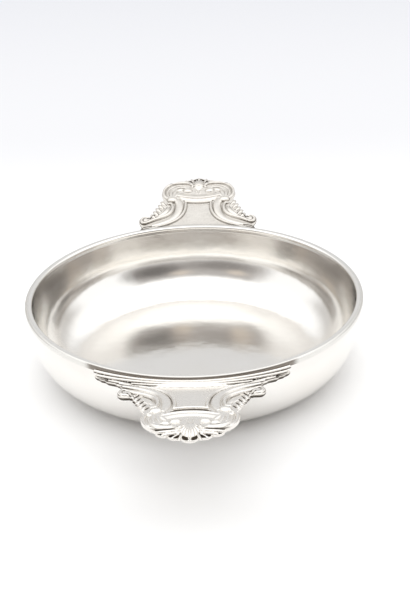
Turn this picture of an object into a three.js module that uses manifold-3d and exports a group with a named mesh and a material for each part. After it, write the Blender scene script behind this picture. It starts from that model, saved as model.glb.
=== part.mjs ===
// A shallow round silver bowl with a rounded rim and two cast ears.
// Millimetres, +Z up, the bottom of the bowl on z = 0, the ears along Y.
import * as THREE from "three";
import { mergeVertices } from "three/addons/utils/BufferGeometryUtils.js";
import Module from "manifold-3d";

const wasm = await Module();
wasm.setup();

// Bowl and rim
const rimRadius = 85; // outer edge of the rim wire
const bowlHeight = 40; // table to the top of the rim
const footRadius = 50; // flat bottom
const wallThickness = 1.4;
const wallSquareness = 2.45; // 2 is a plain ellipse, more is a fuller belly
const rimWireWidth = 3.2;
const wallInset = 1; // outside of the wall behind the outer edge of the rim wire
const seatClearance = 0.3;

// Ear: where it sits
const earTilt = THREE.MathUtils.degToRad(7.8);
const earDrop = 3; // top of its plate below the top of the rim, at the rim's edge
const plateThickness = 2.2;

// Ear: plan, across and outward from the rim's edge
const wingReach = 45; // middle of the ear to the tip of a wing
const wingWidth = 4.8;
const panelReach = 7.7; // middle of the ear to the reed beside the panel
const stalkReach = 12.5; // middle of the ear to the stalk of a leaf
const leafReach = 33.3; // middle of the ear to the tip of a leaf
const leafTipOut = 10.6;
const leafLength = 15;
const lobeReach = 21.2; // middle of the ear to the side of a lobe
const lobeOut = 38;
const lobeLength = 21;
const shellOut = 44; // centre of the fan
const shellLength = 13.2;
const shellReach = 17;
const shellDrop = 0.7; // shell below the plate
const shellThickness = 1.7;

// Ear: ornament
const rimReedRadius = 1;
const rimReedDrop = 0.5; // top of the reed beside the rim below the top of the rim
const reedRadius = 1.1;
const borderRadius = 1.3;
const beadRadius = 0.6;
const shellRibRadius = 1.4;
const reedLift = 0.3; // middle of a raised reed above the plate
const leafTeeth = 4;
const toothDepth = 1.6;
const fluteLength = 9.6;
const shellRibs = 9;
const shellRibStep = THREE.MathUtils.degToRad(15.5);
const scallopDepth = 1.4;

// How finely round things are cut
const roundSegments = 72;
const wallSteps = 12;
const wireSteps = 12;
const reedSides = 6;

const wireRadius = rimWireWidth / 2;
const wireCentreRadius = rimRadius - wireRadius;
const wireCentreHeight = bowlHeight - wireRadius;
const lipRadius = rimRadius - wallInset;
const lipHeight = bowlHeight - rimWireWidth - seatClearance;
const neckOut = lobeOut - lobeLength / 2;

// Quarter of a superellipse, from the edge of a flat bottom up to the lip.
function wallCurve(flatRadius, topRadius, bottom) {
  const power = 2 / wallSquareness;
  const points = [];
  for (let i = 0; i <= wallSteps; i++) {
    const turn = (i / wallSteps) * (Math.PI / 2);
    const radius = flatRadius + (topRadius - flatRadius) * Math.sin(turn) ** power;
    const height = lipHeight - (lipHeight - bottom) * Math.cos(turn) ** power;
    points.push(new THREE.Vector2(radius, height));
  }
  return points;
}

// Arc about a centre, in the plane of a profile.
function arcPoints(centre, radius, from, to, steps) {
  const points = [];
  for (let i = 0; i <= steps; i++) {
    const angle = THREE.MathUtils.lerp(from, to, i / steps);
    points.push(
      new THREE.Vector2(
        centre.x + radius * Math.cos(angle),
        centre.y + radius * Math.sin(angle),
      ),
    );
  }
  return points;
}

function turned(profile) {
  return new THREE.LatheGeometry(profile, roundSegments).rotateX(Math.PI / 2);
}

function bowlBody() {
  const outside = wallCurve(footRadius, lipRadius, 0);
  const inside = wallCurve(footRadius, lipRadius - wallThickness, wallThickness);
  return turned([
    new THREE.Vector2(0, 0),
    ...outside,
    ...inside.reverse(),
    new THREE.Vector2(0, wallThickness),
  ]);
}

function rimWire() {
  const centre = new THREE.Vector2(wireCentreRadius, wireCentreHeight);
  return turned(arcPoints(centre, wireRadius, 0, 2 * Math.PI, wireSteps));
}

// Room that the bowl and its rim take from an ear: their outside, a clearance further out,
// with everything inside it and above the rim.
function bowlRoom() {
  const wall = wallCurve(
    footRadius + seatClearance,
    lipRadius + seatClearance,
    0,
  );
  const reach = wireRadius + seatClearance;
  const wallSide = Math.acos((reach - wallInset) / reach);
  const centre = new THREE.Vector2(wireCentreRadius, wireCentreHeight);
  const above = bowlHeight + earDrop + rimWireWidth;
  return turned([
    new THREE.Vector2(0, 0),
    ...wall,
    ...arcPoints(centre, reach, -wallSide, 0, wireSteps / 2),
    new THREE.Vector2(rimRadius + seatClearance, above),
    new THREE.Vector2(0, above),
  ]);
}

function toSolid(geometry) {
  geometry.deleteAttribute("normal");
  geometry.deleteAttribute("uv");
  const merged = mergeVertices(geometry);
  return new wasm.Manifold(
    new wasm.Mesh({
      numProp: 3,
      vertProperties: merged.attributes.position.array,
      triVerts: new Uint32Array(merged.index.array),
    }),
  );
}

function toGeometry(solid) {
  const mesh = solid.getMesh();
  const geometry = new THREE.BufferGeometry();
  const position = new THREE.BufferAttribute(mesh.vertProperties, 3);
  geometry.setAttribute("position", position);
  geometry.setIndex(new THREE.BufferAttribute(mesh.triVerts, 1));
  geometry.computeVertexNormals();
  return geometry;
}

function at(x, y) {
  return new THREE.Vector2(x, y);
}

function mirrored(point) {
  return at(-point.x, point.y);
}

// Smooth run of points through the given ones.
function smooth(points, steps) {
  return new THREE.SplineCurve(points).getPoints(steps);
}

// Point of the ear's plan beside the rim: a share of the way to the wing's tip, and a distance
// outward from the rim's edge.
function besideRim(share, outward) {
  const angle = share * Math.asin(wingReach / rimRadius);
  const radius = rimRadius + outward;
  return at(radius * Math.sin(angle), radius * Math.cos(angle) - rimRadius);
}

// Point on the scalloped edge of the shell, at an angle from the ear's middle line.
function shellEdge(angle, bite) {
  const across = shellReach - bite;
  const outward = shellLength - bite;
  return at(across * Math.sin(angle), shellOut + outward * Math.cos(angle));
}

// Point of a lobe: a share of its reach across, and of half its length outward from its middle.
function lobePoint(across, outward) {
  return at(across * lobeReach, lobeOut + (outward * lobeLength) / 2);
}

// Point of a leaf, in leaf lengths back from its tip and outward from it.
function leafPoint(back, outward) {
  return at(leafReach - back * leafLength, leafTipOut + outward * leafLength);
}

// Point of the neck: a share of the way from one reach to another, and of the way out to the lobes.
function neckPoint(fromReach, toReach, across, outward) {
  return at(THREE.MathUtils.lerp(fromReach, toReach, across), outward * neckOut);
}

// Side of a lobe, from the shell back to the leaf.
function lobeEdge() {
  const side = [
    lobePoint(0.7, 1),
    lobePoint(0.89, 0.7),
    lobePoint(1, 0.25),
    lobePoint(1, -0.3),
    lobePoint(0.9, -0.8),
  ];
  return smooth(side, 10);
}

// Tip and root of a tooth along the outer edge of a leaf, counted from the lobe towards the rim.
function leafTooth(index) {
  const share = (index + 0.5) / leafTeeth;
  const middle = lobePoint(0.89, -0.78).lerp(leafPoint(0.53, 0.09), share);
  return {
    tip: at(middle.x + 0.55 * toothDepth, middle.y),
    root: at(middle.x - 0.45 * toothDepth, middle.y - 0.8 * toothDepth),
  };
}

// Outer edge of a leaf: its teeth, then its tip and the side that turns back to the wing.
function leafEdge() {
  const teeth = [];
  for (let i = 0; i < leafTeeth; i++) {
    const tooth = leafTooth(i);
    teeth.push(tooth.tip, tooth.root);
  }
  const underside = [leafPoint(0.48, 0.06), leafPoint(0.2, 0.05), leafPoint(0, 0)];
  const side = [
    leafPoint(0, 0),
    leafPoint(0.02, -0.24),
    leafPoint(0.09, -0.47),
    leafPoint(0.21, -0.6),
  ];
  return [...teeth, ...smooth(underside, 4), ...smooth(side, 8).slice(1)];
}

// Outer edge of a wing, from the leaf to the tip beside the rim, and on to well inside the bowl.
function wingEdge() {
  const inward = -4 * wingWidth;
  return [
    besideRim(0.68, 1.05 * wingWidth),
    besideRim(0.8, 0.86 * wingWidth),
    besideRim(0.82, 0.6 * wingWidth),
    besideRim(0.92, 0.45 * wingWidth),
    besideRim(0.98, 0.3 * wingWidth),
    besideRim(1, 0),
    besideRim(1, inward),
    besideRim(0.5, inward),
  ];
}

function plate() {
  const half = [...lobeEdge(), ...leafEdge(), ...wingEdge()];
  const other = half.map(mirrored).reverse();
  const shape = new THREE.Shape([...half, ...other]);
  const options = { depth: plateThickness, bevelEnabled: false };
  return new THREE.ExtrudeGeometry(shape, options).translate(0, 0, -plateThickness);
}

// Fan with a scalloped edge, under the lobes.
function shell() {
  const reach = ((shellRibs - 1) / 2) * shellRibStep;
  const steps = 6 * (shellRibs - 1);
  const points = [];
  for (let i = 0; i <= steps; i++) {
    const angle = THREE.MathUtils.lerp(-reach, reach, i / steps);
    const wave = (1 - Math.cos((2 * Math.PI * angle) / shellRibStep)) / 2;
    points.push(shellEdge(angle, scallopDepth * wave));
  }
  const under = at(0.6 * shellReach, shellOut - borderRadius);
  points.push(under, mirrored(under));
  const options = { depth: shellThickness, bevelEnabled: false };
  const fan = new THREE.ExtrudeGeometry(new THREE.Shape(points), options);
  return fan.translate(0, 0, -shellDrop - shellThickness);
}

// Round rod along a smooth line through plan points, its middle at the given height.
function reed(points, radius, height, steps) {
  const line = points.map((p) => new THREE.Vector3(p.x, p.y, height));
  const section = new THREE.Shape(
    arcPoints(at(0, 0), radius, 0, 2 * Math.PI, reedSides).slice(0, -1),
  );
  return new THREE.ExtrudeGeometry(section, {
    steps,
    bevelEnabled: false,
    extrudePath: new THREE.CatmullRomCurve3(line),
  });
}

// Rod that widens from one plan point to another, such as a rib or the flute of a leaf.
function ridge(from, to, fromRadius, toRadius, height) {
  const along = to.clone().sub(from);
  const rod = new THREE.CylinderGeometry(toRadius, fromRadius, along.length(), reedSides);
  rod.rotateZ(along.angle() - Math.PI / 2);
  return rod.translate((from.x + to.x) / 2, (from.y + to.y) / 2, height);
}

// Rod that runs beside the rim from wing to wing.
function alongRim(outward, radius, height) {
  const lastShare = 0.97;
  const points = [];
  for (let i = -6; i <= 6; i++) {
    points.push(besideRim((i / 6) * lastShare, outward));
  }
  return reed(points, radius, height, 24);
}

// Raised reed against the rim.
function rimReed() {
  const height = earDrop - rimReedDrop - rimReedRadius;
  return alongRim(rimReedRadius, rimReedRadius, height);
}

// Lower moulding between that reed and the plain panel.
function rimMoulding() {
  return alongRim(2 * rimReedRadius, reedRadius, reedLift);
}

// Reed that leaves the wing and turns down beside the plain panel.
function frameReed() {
  const points = [
    besideRim(0.94, reedRadius),
    besideRim(0.64, 0.67 * wingWidth),
    besideRim(0.42, 0.96 * wingWidth),
    neckPoint(panelReach, leafReach, 0.17, 0.28),
    neckPoint(panelReach, leafReach, 0.05, 0.49),
    neckPoint(panelReach, leafReach, 0, 0.73),
    neckPoint(panelReach, leafReach, 0.02, 1),
  ];
  return reed(points, reedRadius, 0, 16);
}

// Stalk of the leaf, outside the reed beside the panel.
function stalkReed() {
  const points = [
    besideRim(0.78, 0.57 * wingWidth),
    neckPoint(stalkReach, leafReach, 0.65, 0.08),
    neckPoint(stalkReach, leafReach, 0.31, 0.28),
    neckPoint(stalkReach, leafReach, 0.1, 0.51),
    neckPoint(stalkReach, leafReach, 0, 0.76),
    neckPoint(stalkReach, leafReach, 0, 1.05),
  ];
  return reed(points, reedRadius, 0, 14);
}

// Reed along a leaf that curls over at its tip.
function leafCurl() {
  const points = [
    leafPoint(1, 0.15),
    leafPoint(0.73, -0.16),
    leafPoint(0.43, -0.39),
    leafPoint(0.2, -0.37),
    leafPoint(0.09, -0.2),
    leafPoint(0.15, -0.06),
    leafPoint(0.28, -0.08),
  ];
  return reed(points, rimReedRadius, reedLift, 14);
}

// Flute of the leaf that ends in a tooth.
function leafFlute(index) {
  const { tip } = leafTooth(index);
  const from = at(tip.x - 0.78 * fluteLength, tip.y - 0.62 * fluteLength);
  return ridge(from, tip, beadRadius, reedRadius, 0);
}

// Thin bead across the end of the panel.
function panelBead() {
  const points = [lobePoint(-0.38, -1.05), lobePoint(0, -1.1), lobePoint(0.38, -1.05)];
  return reed(points, beadRadius, reedLift, 6);
}

// Broad reed across the ear, between the lobes.
function barReed() {
  const half = [lobePoint(0.64, -0.53), lobePoint(0.42, -0.72)];
  const points = [...half, lobePoint(0, -0.8), ...half.map(mirrored).reverse()];
  return reed(points, reedRadius, reedLift, 14);
}

// Border of a lobe, which turns in beside the shell and ends in a volute.
function lobeScroll() {
  const points = [
    lobePoint(0.64, -0.53),
    lobePoint(0.83, -0.69),
    lobePoint(0.91, -0.34),
    lobePoint(0.94, 0.15),
    lobePoint(0.845, 0.59),
    lobePoint(0.63, 0.88),
    lobePoint(0.4, 0.85),
    lobePoint(0.24, 0.63),
    lobePoint(0.2, 0.3),
    lobePoint(0.29, 0.08),
    lobePoint(0.39, 0.19),
  ];
  return reed(points, borderRadius, reedLift, 30);
}

// Rib of the shell, from the centre of the fan out to its edge.
function shellRib(index) {
  const angle = (index - (shellRibs - 1) / 2) * shellRibStep;
  const from = at(2 * beadRadius * Math.sin(angle), shellOut + beadRadius);
  const to = shellEdge(angle, 0.15 * scallopDepth);
  return ridge(from, to, beadRadius, shellRibRadius, reedLift - shellDrop);
}

// Geometry of one half's ornament on both halves.
function bothSides(makeHalf) {
  const right = toSolid(makeHalf());
  return [right, right.mirror([1, 0, 0])];
}

function earSolid() {
  const pieces = [toSolid(plate()), toSolid(shell())];
  for (const make of [rimReed, rimMoulding, panelBead, barReed]) {
    pieces.push(toSolid(make()));
  }
  for (const makeHalf of [frameReed, stalkReed, leafCurl, lobeScroll]) {
    pieces.push(...bothSides(makeHalf));
  }
  for (let i = 0; i < leafTeeth; i++) {
    pieces.push(...bothSides(() => leafFlute(i)));
  }
  for (let i = 0; i < shellRibs; i++) {
    pieces.push(toSolid(shellRib(i)));
  }
  return wasm.Manifold.union(pieces);
}

// Ear set against the bowl, on the side that a turn about Z takes it to.
function placedEar(turn) {
  const geometry = toGeometry(earSolid());
  geometry.rotateX(earTilt);
  geometry.translate(0, rimRadius, bowlHeight - earDrop);
  geometry.rotateZ(turn);
  return toGeometry(toSolid(geometry).subtract(toSolid(bowlRoom())));
}

function silver(colour, roughness) {
  return new THREE.MeshStandardMaterial({
    color: colour,
    roughness,
    metalness: 1,
  });
}

function named(name, geometry, material) {
  const mesh = new THREE.Mesh(geometry, material);
  mesh.name = name;
  return mesh;
}

const bowl = new THREE.Group();
bowl.add(
  named("bowl_body", bowlBody(), silver(0xd9d6d1, 0.16)),
  named("rim_wire", rimWire(), silver(0xdedbd6, 0.14)),
  named("front_ear", placedEar(Math.PI), silver(0xd4d1cb, 0.22)),
  named("rear_ear", placedEar(0), silver(0xd4d1cb, 0.22)),
);

export default bowl;
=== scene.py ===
"""Shallow round silver bowl with two cast ears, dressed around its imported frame.

Metres, +Z up, the flat bottom on z = 0, the ears along Y with the front ear towards -Y.
"""

import logging
import math
from contextlib import contextmanager
from dataclasses import dataclass, field
from enum import Enum
from typing import Iterator, Sequence, Union

import bpy
import numpy as np
from mathutils import Matrix, Vector


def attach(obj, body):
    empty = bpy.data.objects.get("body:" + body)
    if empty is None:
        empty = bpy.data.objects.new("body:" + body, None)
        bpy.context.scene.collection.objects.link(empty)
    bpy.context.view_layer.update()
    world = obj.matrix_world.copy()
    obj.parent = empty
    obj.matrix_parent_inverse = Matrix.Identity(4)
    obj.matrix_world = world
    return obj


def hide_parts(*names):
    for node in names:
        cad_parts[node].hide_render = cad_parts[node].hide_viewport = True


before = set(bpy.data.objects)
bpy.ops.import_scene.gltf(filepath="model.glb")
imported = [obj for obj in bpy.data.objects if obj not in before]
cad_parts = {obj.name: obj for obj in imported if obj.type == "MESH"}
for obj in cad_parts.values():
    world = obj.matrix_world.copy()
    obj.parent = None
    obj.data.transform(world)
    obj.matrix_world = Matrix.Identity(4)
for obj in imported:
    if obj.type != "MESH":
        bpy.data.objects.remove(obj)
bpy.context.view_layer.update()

MM = 0.001
FULL_TURN = 2 * math.pi
BODY = "root"

Piece = bpy.types.Object
Line = Sequence[Vector]
Colour = tuple[float, float, float, float]
Pair = tuple[float, float]
Triple = tuple[float, float, float]

log = logging.getLogger("ecuelle")


class Slot(Enum):
    """Material slots of the record."""

    RAISED = "raised_silver"
    CAST = "cast_silver"


# Modelling tools


def pick(*pieces: Piece) -> None:
    """Select only these pieces and make the first one active.

    Args:
        pieces: Objects to select.
    """
    bpy.ops.object.select_all(action="DESELECT")
    for piece in pieces:
        piece.select_set(True)
    bpy.context.view_layer.objects.active = pieces[0]


@contextmanager
def editing(piece: Piece) -> Iterator[None]:
    """Hold a piece in edit mode for as long as the block lasts.

    Args:
        piece: Mesh object to edit.

    Yields:
        Nothing, while the piece is in edit mode.
    """
    pick(piece)
    bpy.ops.object.mode_set(mode="EDIT")
    yield
    bpy.ops.object.mode_set(mode="OBJECT")


def joined(pieces: Sequence[Piece]) -> Piece:
    """Join several mesh objects into the first one.

    Args:
        pieces: Mesh objects.

    Returns:
        The one object that is left.
    """
    pick(*pieces)
    bpy.ops.object.join()
    return bpy.context.object


def apply_modifier(piece: Piece, kind: str, **settings: object) -> None:
    """Add a modifier to a piece and apply it.

    Args:
        piece: Mesh object.
        kind: Type of the modifier.
        settings: Values of the modifier's own fields.
    """
    pick(piece)
    bpy.ops.object.modifier_add(type=kind)
    modifier = piece.modifiers[-1]
    for name, value in settings.items():
        setattr(modifier, name, value)
    bpy.ops.object.modifier_apply(modifier=modifier.name)


def vertex_array(piece: Piece, name: str) -> np.ndarray:
    """Read a vector of every vertex.

    Args:
        piece: Mesh object.
        name: Field of a vertex, such as co or normal.

    Returns:
        One row for each vertex.
    """
    values = np.empty(len(piece.data.vertices) * 3)
    piece.data.vertices.foreach_get(name, values)
    return values.reshape(-1, 3)


def ramp(values: np.ndarray, start: float | np.ndarray, length: float) -> np.ndarray:
    """Rise straight from 0 at the start to 1 a length further on, or further down if it is negative."""
    return np.clip((values - start) / length, 0, 1)


def first_vertex(name: str, place: Sequence[float]) -> Piece:
    """Start a mesh of one vertex, from a plane that is merged at its centre.

    Args:
        name: Name of the object.
        place: Where the vertex lies.

    Returns:
        The new object, its vertex selected.
    """
    bpy.ops.mesh.primitive_plane_add(size=MM, location=(0, 0, 0))
    piece = bpy.context.object
    piece.name = name
    with editing(piece):
        bpy.ops.mesh.select_all(action="SELECT")
        bpy.ops.mesh.merge(type="CENTER")
        bpy.ops.transform.translate(value=place)
    return piece


def turned(name: str, profile: Sequence[Pair], steps: int) -> Piece:
    """Draw a profile point by point and spin it about the Z axis.

    Args:
        name: Name of the object.
        profile: Radius and height of each point, from first to last.
        steps: Number of steps in the full turn.

    Returns:
        The closed, smooth body.
    """
    radius, height = profile[0]
    piece = first_vertex(name, (radius, 0, height))
    with editing(piece):
        for (r0, z0), (r1, z1) in zip(profile, profile[1:]):
            bpy.ops.mesh.extrude_region_move(TRANSFORM_OT_translate={"value": (r1 - r0, 0, z1 - z0)})
        bpy.ops.mesh.select_all(action="SELECT")
        bpy.ops.mesh.spin(steps=steps, angle=FULL_TURN, center=(0, 0, 0), axis=(0, 0, 1))
        bpy.ops.mesh.select_all(action="SELECT")
        bpy.ops.mesh.remove_doubles(threshold=0.002 * MM)
        bpy.ops.mesh.normals_make_consistent(inside=False)
    pick(piece)
    bpy.ops.object.shade_smooth()
    return piece


def slab(name: str, outline: Line, top: float, edge: float, belly: float) -> Piece:
    """Cut a flat slab to an outline, its underside drawn in towards the middle.

    Args:
        name: Name of the object.
        outline: Plan points in order.
        top: Height of its upper face.
        edge: Height of its upright edge.
        belly: How far the underside sinks below the edge, and is drawn in.

    Returns:
        The closed slab.
    """
    bpy.ops.mesh.primitive_circle_add(vertices=len(outline), radius=MM, fill_type="NGON")
    piece = bpy.context.object
    piece.name = name
    for vertex, point in zip(piece.data.vertices, outline):
        vertex.co = (point.x, point.y, top)
    with editing(piece):
        bpy.ops.mesh.select_all(action="SELECT")
        bpy.ops.mesh.extrude_region_move(TRANSFORM_OT_translate={"value": (0, 0, -edge)})
        bpy.ops.mesh.inset(thickness=belly, use_even_offset=False)
        bpy.ops.transform.translate(value=(0, 0, -belly))
        bpy.ops.mesh.select_all(action="SELECT")
        bpy.ops.mesh.normals_make_consistent(inside=False)
    return piece


def rod(points: Line, radii: Sequence[float], heights: Sequence[float], flatness: float) -> Piece:
    """Draw a round rod along a smooth line, with its own radius and height at each point.

    Args:
        points: Plan points that the rod passes through.
        radii: Radius at each point.
        heights: Height of the rod's middle at each point.
        flatness: Height of its section as a share of its width.

    Returns:
        The rod as a mesh.
    """
    bpy.ops.curve.primitive_bezier_curve_add(location=(0, 0, 0))
    piece = bpy.context.object
    curve = piece.data
    curve.bevel_depth = 1.0
    curve.bevel_resolution = 3
    curve.resolution_u = 8
    curve.use_fill_caps = True
    spline = curve.splines[0]
    spline.bezier_points.add(len(points) - 2)
    for knot, point, radius, height in zip(spline.bezier_points, points, radii, heights):
        knot.co = (point.x, point.y, height)
        knot.handle_left_type = "AUTO"
        knot.handle_right_type = "AUTO"
        knot.radius = radius
    pick(piece)
    bpy.ops.object.convert(target="MESH")
    if flatness != 1.0:
        middle = sum(heights) / len(heights)
        with editing(piece):
            bpy.ops.mesh.select_all(action="SELECT")
            bpy.ops.transform.resize(value=(1, 1, flatness), center_override=(0, 0, middle))
    return piece


def bud(place: Vector, height: float, radii: Triple, turn: float) -> Piece:
    """Model a rounded bud.

    Args:
        place: Plan point of its middle.
        height: Height of its middle.
        radii: Half of its length, width and height.
        turn: Angle of its length from the X axis.

    Returns:
        The bud as a mesh.
    """
    bpy.ops.mesh.primitive_uv_sphere_add(segments=24, ring_count=12, radius=1.0)
    piece = bpy.context.object
    piece.scale = radii
    piece.rotation_euler = (0, 0, turn)
    piece.location = (place.x, place.y, height)
    bpy.ops.object.transform_apply(location=True, rotation=True, scale=True)
    return piece


# Shader tools

Number = Union[float, "Channel"]


class Channel:
    """Number from a shader socket that takes part in Python sums."""

    def __init__(self, tree: bpy.types.NodeTree, socket: bpy.types.NodeSocket) -> None:
        """Wrap a socket.

        Args:
            tree: Node tree that the socket belongs to.
            socket: Output socket.
        """
        self.tree = tree
        self.socket = socket

    def _math(self, operation: str, first: Number, second: Number = 0.0) -> "Channel":
        """Add a Math node.

        Args:
            operation: What the node does.
            first: Its first number.
            second: Its second number.

        Returns:
            The node's result.
        """
        node = self.tree.nodes.new("ShaderNodeMath")
        node.operation = operation
        for inlet, number in zip(node.inputs, (first, second)):
            if isinstance(number, Channel):
                self.tree.links.new(number.socket, inlet)
            else:
                inlet.default_value = number
        return Channel(self.tree, node.outputs[0])

    def __add__(self, other: Number) -> "Channel":
        """Sum of two numbers."""
        return self._math("ADD", self, other)

    def __radd__(self, other: Number) -> "Channel":
        """Sum with a plain number in front."""
        return self._math("ADD", other, self)

    def __sub__(self, other: Number) -> "Channel":
        """Difference of two numbers."""
        return self._math("SUBTRACT", self, other)

    def __rsub__(self, other: Number) -> "Channel":
        """Difference with a plain number in front."""
        return self._math("SUBTRACT", other, self)

    def __mul__(self, other: Number) -> "Channel":
        """Product of two numbers."""
        return self._math("MULTIPLY", self, other)

    def __rmul__(self, other: Number) -> "Channel":
        """Product with a plain number in front."""
        return self._math("MULTIPLY", other, self)

    def __truediv__(self, other: Number) -> "Channel":
        """Quotient of two numbers."""
        return self._math("DIVIDE", self, other)

    def __abs__(self) -> "Channel":
        """Size of the number without its sign."""
        return self._math("ABSOLUTE", self)

    def at_most(self, other: Number) -> "Channel":
        """The smaller of two numbers."""
        return self._math("MINIMUM", self, other)

    def at_least(self, other: Number) -> "Channel":
        """The larger of two numbers."""
        return self._math("MAXIMUM", self, other)

    def root(self) -> "Channel":
        """Square root."""
        return self._math("SQRT", self)

    def arcsine(self) -> "Channel":
        """Angle whose sine this is."""
        return self._math("ARCSINE", self)

    def angle_over(self, other: Number) -> "Channel":
        """Angle of the point (other, self) about the origin."""
        return self._math("ARCTAN2", self, other)


class Graph:
    """Node tree of a material or a world, which gains each node in the same way."""

    def __init__(self, tree: bpy.types.NodeTree) -> None:
        """Empty a node tree.

        Args:
            tree: Tree to fill.
        """
        self.tree = tree
        tree.nodes.clear()

    def add(
        self,
        kind: str,
        sockets: dict[str | int, object] | None = None,
        settings: dict[str, object] | None = None,
        outlet: str | int = 0,
    ) -> Channel:
        """Add a node, set it, and fill its sockets.

        Args:
            kind: Node type.
            sockets: Value or link of each input, by name or number.
            settings: Values of the node's own fields, which are set first.
            outlet: Output that is wanted.

        Returns:
            That output.
        """
        node = self.tree.nodes.new(kind)
        for name, value in (settings or {}).items():
            setattr(node, name, value)
        for name, value in (sockets or {}).items():
            if isinstance(value, Channel):
                self.tree.links.new(value.socket, node.inputs[name])
            else:
                node.inputs[name].default_value = value
        return Channel(self.tree, node.outputs[outlet] if len(node.outputs) else None)

    def blend(self, share: Number, low: object, high: object) -> Channel:
        """Mix two colours by the share of the second one."""
        mix = {"data_type": "RGBA"}
        return self.add("ShaderNodeMix", {"Factor": share, 6: low, 7: high}, mix, 2)

    def scaled(self, colour: Channel, factor: Channel) -> Channel:
        """Colour with each of its channels multiplied by a number."""
        return self.add("ShaderNodeVectorMath", {0: colour, "Scale": factor}, {"operation": "SCALE"})

    def step(self, value: Channel, low: float, high: float) -> Channel:
        """Rise smoothly from 0 to 1.

        Args:
            value: Number that is tested.
            low: Where the rise starts.
            high: Where it ends; less than low for a fall.

        Returns:
            The share of the rise.
        """
        if low > high:
            return 1 - self.step(value, high, low)
        sockets = {"Value": value, "From Min": low, "From Max": high}
        return self.add("ShaderNodeMapRange", sockets, {"interpolation_type": "SMOOTHSTEP"})

    def between(self, angle: Channel, low: float, high: float, edge: float) -> Channel:
        """Test whether an angle lies between two others.

        Args:
            angle: Angle that is tested.
            low: Lower limit, in degrees.
            high: Upper limit, in degrees.
            edge: How far the change spreads to each side of a limit, in degrees.

        Returns:
            1 between the limits and 0 beyond them.
        """
        rise = self.step(angle, math.radians(low - edge), math.radians(low + edge))
        fall = self.step(angle, math.radians(high + edge), math.radians(high - edge))
        return rise * fall

    def noise(self, vector: Channel, scale: float, detail: float) -> Channel:
        """Smooth noise between 0 and 1, of so many waves in a metre and so many finer layers."""
        sockets = {"Vector": vector, "Scale": scale, "Detail": detail, "Roughness": 0.5}
        return self.add("ShaderNodeTexNoise", sockets)

    def vector(self, x: Number, y: Number, z: Number) -> Channel:
        """Vector of three numbers."""
        return self.add("ShaderNodeCombineXYZ", {0: x, 1: y, 2: z})

    def parts(self, vector: Channel) -> tuple[Channel, Channel, Channel]:
        """Split a vector.

        Args:
            vector: What is split.

        Returns:
            Its X, Y and Z.
        """
        node = self.add("ShaderNodeSeparateXYZ", {0: vector}).socket.node
        x, y, z = (Channel(self.tree, outlet) for outlet in node.outputs)
        return x, y, z


def new_material(name: str) -> tuple[bpy.types.Material, Graph]:
    """Start a material with no nodes.

    Args:
        name: Name of the material.

    Returns:
        The material and its node tree.
    """
    material = bpy.data.materials.new(name)
    material.use_nodes = True
    return material, Graph(material.node_tree)


# Finishes


@dataclass(frozen=True)
class SilverFinish:
    """Polished silver: what both finishes share."""

    bright: Colour = (0.905, 0.89, 0.862, 1.0)
    dull: Colour = (0.84, 0.80, 0.74, 1.0)
    polish: float = 0.1
    relief: float = 0.16 * MM
    relief_strength: float = 1.0
    scratch_waves: Triple = (60, 2600, 2600)
    scratch_from: float = 0.68
    scratch_full: float = 0.76

    def _scratches(self, graph: Graph, place: Channel, angle: float) -> Channel:
        """Fine straight scratches that run one way.

        Args:
            graph: Material's nodes.
            place: Object coordinates.
            angle: Direction in the XY plane.

        Returns:
            1 in a scratch and 0 beside it.
        """
        sockets = {"Vector": place, "Rotation": (0.3, 0.2, angle), "Scale": self.scratch_waves}
        lines = graph.noise(graph.add("ShaderNodeMapping", sockets), 1.0, 1.0)
        return graph.step(lines, self.scratch_from, self.scratch_full)

    def _metal(self, graph: Graph, colour: Channel, roughness: Channel, height: Channel) -> None:
        """Close the material with its metal.

        Args:
            graph: Material's nodes.
            colour: Colour of the metal.
            roughness: Roughness of the metal.
            height: Height of the fine relief, as a share of its depth.
        """
        bump = {"Height": height, "Strength": self.relief_strength, "Distance": self.relief}
        sockets = {
            "Base Color": colour,
            "Metallic": 1.0,
            "Roughness": roughness,
            "Normal": graph.add("ShaderNodeBump", bump),
        }
        metal = graph.add("ShaderNodeBsdfPrincipled", sockets)
        graph.add("ShaderNodeOutputMaterial", {"Surface": metal})


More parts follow.
